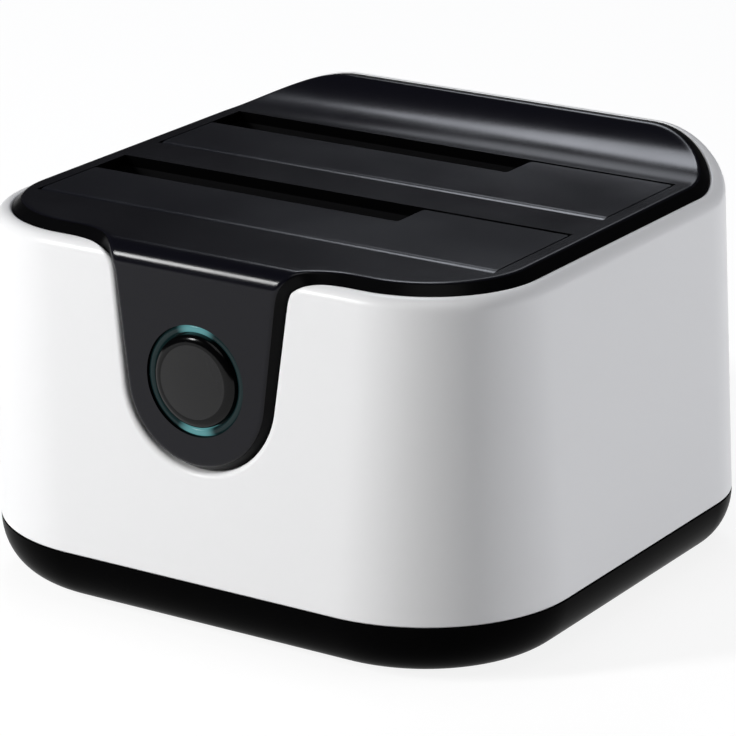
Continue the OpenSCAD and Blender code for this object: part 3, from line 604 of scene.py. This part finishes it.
def edge_outs(share):
    """How far out of the panel's crease the skin's edge lies, on the rim and at the notch.

    The share says how much of the edge's rounding has been passed."""
    return BEVEL_W + FIT_GAP + EDGE_FILLET * share, TONGUE_BEVEL_W + FIT_GAP + NOTCH_FILLET * share


def shell_ring_at_edge(share, sink_share, deeper=0.0):
    """The skin's ring along the rim and round the tongue's notch, where both are rounded."""
    out, end_out = edge_outs(share)
    right = shell_columns(RIM_S + out - BEVEL_W, EDGE_FILLET * sink_share + deeper)
    for (x, s), along in zip(tongue_edge(out, end_out), TONGUE_SHARE):
        right.append(shell_front(x, s, between(EDGE_FILLET, NOTCH_FILLET, along) * sink_share + deeper))
    return mirrored(right)


def shell_ring_down(share, sink, s_end):
    """The skin's ring a share of the way from the rim and notch to the foot."""
    out, end_out = edge_outs(1.0)
    start = RIM_S + out - BEVEL_W
    right = shell_columns(start + (s_end - start) * share, sink)
    for x, s_edge in tongue_edge(out, end_out):
        s = s_edge + (s_end - s_edge) * share
        right.append(shell_front(x * front_half_width(s) / front_half_width(s_edge), s, sink))
    return mirrored(right)


def usb_outline(out):
    """Outline of the type B socket at the rear, drawn out by a gap."""
    wide = (usb_high.x - usb_low.x) / 2 + out
    step = USB_STEP_X + out
    low = usb_low.z - out
    top = usb_high.z + out
    mid = top - USB_STEP_H
    right = [(wide, low), (wide, mid - USB_CORNER), (wide - USB_CORNER, mid), (step, mid), (step, top)]
    return right + [(-x, z) for x, z in reversed(right)]


def build_shell():
    rows_down = 70
    crowding = 1.7
    rings = [shell_ring_at_edge(0.0, 1.0, RIM_DEEP)]
    for degrees in range(90, -1, -18):
        a = math.radians(degrees)
        rings.append(shell_ring_at_edge(1 - math.sin(a), 1 - math.cos(a)))
    for j in range(1, rows_down + 1):
        rings.append(shell_ring_down((j / rows_down) ** crowding, 0.0, FOOT_S - SEAM))
    rings.append(shell_ring_down(1.0, SEAM, FOOT_S))
    rings.append(shell_ring_down(1.0, WALL, FOOT_S))
    bm = bmesh.new()
    add_rings(bm, rings, True)
    bmesh.ops.recalc_face_normals(bm, faces=bm.faces)
    shell = finish_mesh("shell", bm, "housing", "white_shell", [white], SHELL_HARD_A)
    usb = bmesh.new()
    reach = Vector((0, 20, 0))
    inside_y = Y_REAR - reach.y / 2
    add_prism(usb, [Vector((USB_X + x, inside_y, z)) for x, z in usb_outline(SOCKET_GAP)], reach)
    inlet = Vector((INLET_X, Y_REAR, INLET_Z))
    tools = [cutter(usb), bar_tool(COLLAR_R + SOCKET_GAP, inlet - reach / 2, inlet + reach / 2)]
    cut(shell, tools, SHELL_HARD_A)


# Top panel: deck, cove, roll and tongue with a rounded crease and a sloping edge
def on_panel(x, s, depth):
    """Point of the panel's front at a distance across and down its rolled surface, at a depth below it."""
    if s < 0:
        return Vector((x, ROLL_Y - s, Z_DECK - depth))
    if s < ROLL_L:
        a = s / ROLL_R
        r = ROLL_R - depth
        return Vector((x, ROLL_Y - r * math.sin(a), Z_DECK - ROLL_R + r * math.cos(a)))
    return Vector((x, TONGUE_Y + depth, Z_DECK - ROLL_R - (s - ROLL_L)))


def panel_right(out, depth):
    """Right half of the panel's ring at a distance out of the crease and a depth below it."""
    inner = deck_edge(min(out, 0.0))
    right = []
    for i, (x, y) in enumerate(deck_edge(out)):
        drop = depth * BAND_SHARE[i] + lip_rounding(out, LIP_SLOPE[i])
        right.append(Vector((x, y, Z_DECK + deck_rise(inner[i][1]) - drop)))
    end_out = out * TONGUE_BEVEL_W / BEVEL_W if out > 0 else out
    for (x, s), along in zip(tongue_edge(out, end_out), TONGUE_SHARE):
        right.append(on_panel(x, s, depth * between(1.0, TONGUE_BEVEL_H / BEVEL_H, along)))
    return right


def crease_profile():
    """Distance out and depth of the panel's edge: rounded crease, then the slope."""
    steps = 8
    profile = [(INNER_OUT, 0.0)]
    for i in range(steps + 1):
        a = BAND_A * i / steps
        profile.append((-CREASE_T + CREASE_R * math.sin(a), CREASE_R * (1 - math.cos(a))))
    profile.append((BEVEL_W, BEVEL_H))
    return profile


def add_panel_middle(bm, inner, right_count):
    """The panel inside its innermost ring: side-to-side strips, open for the flaps, and the tongue's face."""
    right = inner[:right_count]
    left = [inner[len(inner) - 1 - i] for i in range(right_count - 1)] + [right[-1]]
    deck_count = len(CREASE)
    roll_end = deck_count + FLARE_ANGLES.index(ROLL_END_A)
    rows = []
    for i in range(roll_end + 1):
        y, z = right[i].co.y, right[i].co.z
        row = [left[i], right[i]]
        if i < deck_count and FRONT_HOLE[0] - 1e-4 < y < REAR_HOLE[1] + 1e-4:
            row[1:1] = [bm.verts.new((x, y, z)) for x in (-HOLE_X, HOLE_X)]
        rows.append(row)
    for a, b in zip(rows, rows[1:]):
        y = (a[0].co.y + b[0].co.y) / 2
        in_hole = any(hole[0] < y < hole[1] for hole in (FRONT_HOLE, REAR_HOLE))
        if in_hole and len(a) == 4 and len(b) == 4:
            bm.faces.new((a[0], a[1], b[1], b[0]))
            bm.faces.new((a[2], a[3], b[3], b[2]))
        else:
            bm.faces.new(a + b[::-1])
    border = right[roll_end:] + left[roll_end:-1][::-1]
    button_hole = arc(0, 0, RING_R + FIT_GAP, range(0, 360, 3))
    rim = [bm.verts.new((x, TONGUE_Y, Z_BUTTON + z)) for x, z in button_hole]
    edges = []
    for loop in (border, rim):
        for a, b in zip(loop, loop[1:] + loop[:1]):
            edge = bm.edges.get((a, b)) or bm.edges.new((a, b))
            edges.append(edge)
    bmesh.ops.triangle_fill(bm, edges=edges, use_beauty=True, use_dissolve=False, normal=(0, -1, 0))


def build_panel():
    painted_shade_band_index, painted_shade_rim_index = 1, 2
    first_edge_band = 7
    bm = bmesh.new()
    profile = crease_profile()
    rights = [panel_right(out, depth) for out, depth in profile]
    rows, bands = add_rings(bm, [mirrored(right) for right in rights], False)
    # Painted shade: the outer bands of the crease and the slope take the darker band finish
    for band in bands[first_edge_band:]:
        for face in band:
            face.material_index = painted_shade_band_index
    add_panel_middle(bm, rows[0], len(rights[0]))
    bmesh.ops.recalc_face_normals(bm, faces=bm.faces)
    deck_face = max(bm.faces, key=lambda face: face.calc_area())
    if deck_face.normal.z - deck_face.normal.y < 0:
        bmesh.ops.reverse_faces(bm, faces=bm.faces)
    finishes = [deck_black, band_painted_shade, rim_painted_shade]
    panel = finish_mesh("panel", bm, "housing", "top_panel", finishes, PANEL_HARD_A)
    thick = panel.modifiers.new("thickness", "SOLIDIFY")
    thick.thickness = PANEL_T * MM
    thick.offset = -1
    # Painted shade: the panel's cut walls and the rounding of the holes' edges take the nearly black rim
    # finish
    thick.material_offset_rim = painted_shade_rim_index
    round_edges(panel, HOLE_SOFTEN, segments=3, angle=60, material=painted_shade_rim_index)


# Flaps: L-shaped plates with a rounded front edge, and knuckles that turn on the hinge pin
def flap_edge_tool(front_y):
    """What the rounding of a flap's front edge takes away: a wide curve that ends in a tight one."""
    turn = math.radians(FLAP_EDGE_A)
    nose_y = front_y + FLAP_NOSE_R
    wide_y = nose_y + (FLAP_EDGE_R - FLAP_NOSE_R) * math.sin(turn)
    nose_z = Z_DECK - FLAP_EDGE_R + (FLAP_EDGE_R - FLAP_NOSE_R) * math.cos(turn)
    steps = 8
    curve = []
    for a in spread(0, turn, steps):
        curve.append((wide_y - FLAP_EDGE_R * math.sin(a), Z_DECK - FLAP_EDGE_R * (1 - math.cos(a))))
    for a in spread(turn, math.pi / 2, steps)[1:]:
        curve.append((nose_y - FLAP_NOSE_R * math.sin(a), nose_z + FLAP_NOSE_R * math.cos(a)))
    clear = 1.0
    outline = [(wide_y, Z_DECK + clear)] + curve
    outline += [(front_y - clear, curve[-1][1]), (front_y - clear, Z_DECK + clear)]
    bm = bmesh.new()
    start = -FLAP_X - clear
    add_prism(bm, [Vector((start, y, z)) for y, z in outline], Vector((-2 * start, 0, 0)))
    return cutter(bm)


def build_flap(name, node, body, rear_y, pin_y):
    front_y = rear_y - FLAP_D
    plate_z = Z_DECK - FLAP_T
    slot_x = SLOT_L - FLAP_X
    corners = [(-FLAP_X, front_y), (FLAP_X, front_y), (FLAP_X, rear_y), (slot_x, rear_y),
               (slot_x, rear_y - SLOT_D), (-FLAP_X, rear_y - SLOT_D)]
    bm = bmesh.new()
    add_prism(bm, [Vector((x, y, Z_DECK)) for x, y in corners], Vector((0, 0, -FLAP_T)))
    upright = [e for e in bm.edges if abs(e.verts[0].co.z - e.verts[1].co.z) > 1]
    bmesh.ops.bevel(bm, geom=upright, offset=FLAP_CORNER_R, segments=6, profile=0.5, affect="EDGES")
    arm_top = Z_DECK - PANEL_T - ARM_UNDER_PANEL
    in_plate = plate_z + ARM_INTO_PLATE
    arm = [(pin_y, PIN_Z - ARM_UNDER_PIN), (front_y + ARM_ELBOW_BACK, PIN_Z + ARM_ELBOW_UP),
           (front_y + ARM_HEEL, in_plate), (front_y + ARM_TOE, in_plate),
           (front_y + ARM_BEFORE, arm_top), (pin_y, arm_top)]
    hub_steps = 48
    hub_angles = [2 * math.pi * i / hub_steps for i in range(hub_steps)]
    hub = [(KNUCKLE_R * math.cos(a), KNUCKLE_R * math.sin(a)) for a in hub_angles]
    across = Vector((KNUCKLE_L, 0, 0))
    for x in (-KNUCKLE_X, KNUCKLE_X):
        start = x - KNUCKLE_L / 2
        add_prism(bm, [Vector((start, y, z)) for y, z in arm], across)
        add_prism(bm, [Vector((start, pin_y + y, PIN_Z + z)) for y, z in hub], across)
    bmesh.ops.recalc_face_normals(bm, faces=bm.faces)
    flap = finish_mesh(name, bm, body, node, [flap_black], FLAP_HARD_A)
    reach = Vector((FLAP_X, 0, 0))
    centre = Vector((0, pin_y, PIN_Z))
    bore = bar_tool(PIN_R + RUN_GAP, centre - reach, centre + reach, hub_steps)
    cut(flap, [bore, flap_edge_tool(front_y)], FLAP_HARD_A, crossing=True)
    round_edges(flap, FLAP_SOFTEN, segments=3, angle=50)


# Flap springs: the coil stays round the pin, and the leg under the flap turns with the flap
def add_wire(bm, path, sides=12):
    """Round wire along a path that never runs along X, closed at both ends."""
    angles = [2 * math.pi * k / sides for k in range(sides)]
    rings = []
    for i, point in enumerate(path):
        along = (path[min(i + 1, len(path) - 1)] - path[max(i - 1, 0)]).normalized()
        u = along.cross(Vector((1, 0, 0))).normalized()
        v = u.cross(along)
        rings.append([point + WIRE_R * (math.cos(a) * u + math.sin(a) * v) for a in angles])
    rows = add_rings(bm, rings, False)[0]
    bm.faces.new(rows[0][::-1])
    bm.faces.new(rows[-1])
    bmesh.ops.recalc_face_normals(bm, faces=bm.faces)


def build_spring(side, body, pin_y):
    node = side + "_flap_spring"
    low, high = node_box(node)
    half = (high.x - low.x) / 2 - WIRE_R
    pin = Vector((0, pin_y, PIN_Z))
    under = Z_DECK - FLAP_T - PIN_Z - WIRE_R - LEG_GAP
    leg = [(LEG_L, under), (LEG_L - 1, under), (LEG_BEND + 1, under), (LEG_BEND, under - LEG_DIP),
           (LEG_BEND / 2, (under + COIL_R) / 2), (0.0, COIL_R)]
    bm = bmesh.new()
    add_wire(bm, [pin + Vector((-half, y, z)) for y, z in leg])
    finish_mesh("spring_leg_" + side, bm, body, node, [spring_steel], WIRE_HARD_A)
    turn_steps = 24
    steps = int(turn_steps * COIL_TURNS)
    coil = []
    for i in range(steps + 1):
        a = math.pi / 2 + 2 * math.pi * COIL_TURNS * i / steps
        coil.append(Vector((half * (2 * i / steps - 1), COIL_R * math.cos(a), COIL_R * math.sin(a))))
    wall_y = WIRE_R + TAIL_GAP - POCKET_AHEAD
    coil += [Vector((half, wall_y, TAIL_TOP)), Vector((half, wall_y, TAIL_END))]
    bm = bmesh.new()
    add_wire(bm, [pin + point for point in coil])
    finish_mesh("spring_coil_" + side, bm, "housing", node, [spring_steel], WIRE_HARD_A)


# Base: a shallow bowl with curved flanks, pockets for the feet and counterbores for the screws
def build_base():
    steps = 20
    profile = [(SEAM, Z_PART), (0.0, Z_PART - SEAM)]
    depth = Z_PART - SEAM - Z_BASE
    for i in range(1, steps + 1):
        a = math.radians(90 * i / steps)
        profile.append((BASE_IN * (1 - math.cos(a)), Z_PART - SEAM - depth * math.sin(a)))
    bm = bmesh.new()
    rings = [mirrored([Vector((x, y, z)) for x, y in foot_edge(inset)]) for inset, z in profile]
    rows = add_rings(bm, rings, False)[0]
    bm.faces.new(rows[0])
    bm.faces.new(rows[-1][::-1])
    bmesh.ops.recalc_face_normals(bm, faces=bm.faces)
    base = finish_mesh("base", bm, "housing", "base_tray", [base_black], SHELL_HARD_A)
    below = Z_BASE - 1
    tools = []
    for foot in ("front_left_foot", "front_right_foot", "rear_left_foot", "rear_right_foot"):
        low, high = node_box(foot)
        centre = (low + high) / 2
        radius = (high.x - low.x) / 2 + FIT_GAP
        bottom = Vector((centre.x, centre.y, below))
        top = Vector((centre.x, centre.y, high.z))
        tools.append(bar_tool(radius, bottom, top))
    screws_low, screws_high = node_box("base_screws")
    for x in (screws_low.x + SCREW_HEAD_R, screws_high.x - SCREW_HEAD_R):
        for y in (screws_low.y + SCREW_HEAD_R, screws_high.y - SCREW_HEAD_R):
            bottom = Vector((x, y, below))
            top = Vector((x, y, screws_low.z + COUNTERBORE_UP))
            tools.append(bar_tool(SCREW_HEAD_R + SCREW_GAP, bottom, top))
    cut(base, tools, SHELL_HARD_A)


# Button cap and light ring, turned round the button's axis
def build_button():
    painted_shade_shoulder_index = 1
    face_steps = 12
    shoulder_steps = 16
    cap_front = button_low.y
    cap_back = button_high.y
    shoulder_d = TONGUE_Y + RING_SET - cap_front
    shoulder_w = CAP_R - CAP_FLAT_R
    shares = [i / face_steps for i in range(face_steps + 1)]
    profile = [(CAP_FLAT_R * share, CAP_DOME * share ** 2) for share in shares]
    for i in range(1, shoulder_steps + 1):
        a = math.radians(90 * i / shoulder_steps)
        drop = CAP_DOME + (shoulder_d - CAP_DOME) * (1 - math.cos(a))
        profile.append((CAP_FLAT_R + shoulder_w * math.sin(a), drop))
    depth = cap_back - cap_front
    flange_r = (button_high.x - button_low.x) / 2
    flange_y = CAP_FLANGE_Y - cap_front
    flange_back = flange_y + CAP_FLANGE_T
    profile += [(CAP_R, flange_y), (flange_r, flange_y), (flange_r, flange_back), (STEM_R, flange_back),
                (STEM_R, depth), (0.0, depth)]
    bm = bmesh.new()
    add_lathe(bm, profile, Vector((0, cap_front, Z_BUTTON)), Vector((0, 1, 0)))
    bmesh.ops.recalc_face_normals(bm, faces=bm.faces)
    # Painted shade: the shoulder and the parts behind it take the darker cap finish
    for face in bm.faces:
        middle = face.calc_center_median()
        off_axis = math.hypot(middle.x, middle.z - Z_BUTTON)
        if off_axis > CAP_FLAT_R or middle.y > cap_front + shoulder_d:
            face.material_index = painted_shade_shoulder_index
    finishes = [cap_grey, cap_painted_shade]
    finish_mesh("button_cap", bm, "button", "power_button", finishes, PANEL_HARD_A)


def build_ring():
    bulge_steps = 12
    face = TONGUE_Y + RING_SET
    bulge_r = (RING_R - RING_IN) / 2
    middle = (RING_R + RING_IN) / 2
    profile = []
    for i in range(bulge_steps + 1):
        a = math.pi * i / bulge_steps
        profile.append((middle + bulge_r * math.cos(a), bulge_r * RING_BULGE * (1 - math.sin(a))))
    flange_r = (ring_high.x - ring_low.x) / 2
    back = ring_high.y - face
    flange_front = back - RING_FLANGE_T
    profile += [(RING_IN, back), (flange_r, back), (flange_r, flange_front), (RING_R, flange_front)]
    bm = bmesh.new()
    add_lathe(bm, profile, Vector((0, face, Z_BUTTON)), Vector((0, 1, 0)))
    bmesh.ops.recalc_face_normals(bm, faces=bm.faces)
    finish_mesh("guide_ring", bm, "housing", "light_ring", [teal_guide], PANEL_HARD_A)


build_shell()
build_panel()
build_base()
build_flap("flap_front", "front_flap", "front_door", front_flap_high.y, PIN_Y)
build_flap("flap_rear", "rear_flap", "rear_door", rear_flap_high.y, REAR_PIN_Y)
build_spring("front", "front_door", PIN_Y)
build_spring("rear", "rear_door", REAR_PIN_Y)
build_button()
build_ring()


# Floor, lights and camera, in metres apart from the camera's place
LIGHT_AIM = Vector((0, 0, 0.045))
FLOOR_HALF = 6.0
PALE_BLUE = (0.88, 0.92, 1.0)


def direction(azimuth, elevation):
    a = math.radians(azimuth)
    e = math.radians(elevation)
    return Vector((math.sin(a) * math.cos(e), -math.cos(a) * math.cos(e), math.sin(e)))


def softbox(name, azimuth, elevation, distance, width, height, watts, colour=(1, 1, 1),
            gloss=True, diffuse=True):
    """A rectangular lamp that faces the object; it can leave out its mirror image or its soft light."""
    light = bpy.data.lights.new(name, "AREA")
    light.shape = "RECTANGLE"
    light.size = width
    light.size_y = height
    light.energy = watts
    light.color = colour
    lamp = bpy.data.objects.new(name, light)
    bpy.context.collection.objects.link(lamp)
    back = direction(azimuth, elevation)
    lamp.location = LIGHT_AIM + back * distance
    lamp.rotation_mode = "QUATERNION"
    lamp.rotation_quaternion = back.to_track_quat("Z", "Y")
    lamp.visible_glossy = gloss
    lamp.visible_diffuse = diffuse


def build_floor():
    """Pale paper below the feet; the camera and mirror images see it as a white backdrop with shadow."""
    bm = bmesh.new()
    bmesh.ops.create_grid(bm, x_segments=1, y_segments=1, size=FLOOR_HALF)
    bmesh.ops.translate(bm, vec=(0, 0, -FLOOR_GAP * MM), verts=bm.verts)
    mesh = bpy.data.meshes.new("floor")
    bm.to_mesh(mesh)
    bm.free()
    floor = bpy.data.objects.new("floor", mesh)
    bpy.context.collection.objects.link(floor)
    material = bpy.data.materials.new("floor_white")
    material.use_nodes = True
    nodes = material.node_tree.nodes
    links = material.node_tree.links
    nodes.clear()
    paper = nodes.new("ShaderNodeBsdfDiffuse")
    paper.inputs["Color"].default_value = (0.55, 0.55, 0.55, 1.0)
    shadow = nodes.new("ShaderNodeBsdfDiffuse")
    shadow.inputs["Color"].default_value = (0.22, 0.22, 0.22, 1.0)
    glow = nodes.new("ShaderNodeEmission")
    glow.inputs["Strength"].default_value = 0.86
    backdrop = nodes.new("ShaderNodeAddShader")
    links.new(shadow.outputs[0], backdrop.inputs[0])
    links.new(glow.outputs[0], backdrop.inputs[1])
    rays = nodes.new("ShaderNodeLightPath")
    mirrored_ray = nodes.new("ShaderNodeMath")
    seen_ray = nodes.new("ShaderNodeMath")
    for math_node in (mirrored_ray, seen_ray):
        math_node.operation = "MAXIMUM"
    links.new(rays.outputs["Is Glossy Ray"], mirrored_ray.inputs[0])
    links.new(rays.outputs["Is Transmission Ray"], mirrored_ray.inputs[1])
    links.new(rays.outputs["Is Camera Ray"], seen_ray.inputs[0])
    links.new(mirrored_ray.outputs[0], seen_ray.inputs[1])
    choice = nodes.new("ShaderNodeMixShader")
    links.new(seen_ray.outputs[0], choice.inputs["Fac"])
    links.new(paper.outputs[0], choice.inputs[1])
    links.new(backdrop.outputs[0], choice.inputs[2])
    out = nodes.new("ShaderNodeOutputMaterial")
    links.new(choice.outputs[0], out.inputs["Surface"])
    mesh.materials.append(material)


def build_camera():
    """The camera that was fitted to the photograph, aimed at the middle of the deck and then moved aside."""
    azimuth = 32.62
    elevation = 18.597
    distance = 779.44
    shift_right = 2.352
    shift_up = -35.734
    back = direction(azimuth, elevation)
    right = Vector((math.cos(math.radians(azimuth)), math.sin(math.radians(azimuth)), 0))
    up = back.cross(right)
    aim = Vector((0, (front_flap_high.y + rear_flap_high.y - FLAP_D) / 2, Z_DECK))
    place = aim + back * distance + right * shift_right + up * shift_up
    camera = bpy.data.cameras.new("camera")
    camera.lens = 193.2
    camera.sensor_width = 36.0
    camera.clip_start = 0.01
    view = bpy.data.objects.new("camera", camera)
    bpy.context.collection.objects.link(view)
    turn = Matrix((right, up, back)).transposed().to_4x4()
    view.matrix_world = Matrix.Translation(place * MM) @ turn
    bpy.context.scene.camera = view


build_floor()
# The low lamps leave no mirror image, or the glossy deck would show them as white from the far side;
# the glint gives the highlight along the panel's roll-over instead
softbox("key", -37, 21, 1.2, 0.15, 0.6, 13.2, gloss=False)
softbox("glint", -37.5, 29, 1.2, 0.14, 0.25, 5.2, diffuse=False)
softbox("front_right", 40, 66, 1.5, 0.9, 0.9, 3.4)
softbox("fill", 118, 4, 1.3, 0.5, 0.45, 9.4, (0.95, 0.96, 1.0), gloss=False)
softbox("back", 217.5, 51, 1.3, 0.32, 0.32, 2.7, PALE_BLUE)
softbox("back_wall", 206, 30, 1.5, 0.42, 0.3, 0.6, PALE_BLUE)
world = bpy.data.worlds.new("studio")
world.use_nodes = True
background = world.node_tree.nodes["Background"]
background.inputs["Color"].default_value = (1, 1, 1, 1)
background.inputs["Strength"].default_value = 0.03
bpy.context.scene.world = world
build_camera()

bpy.context.scene.view_settings.view_transform = "Standard"
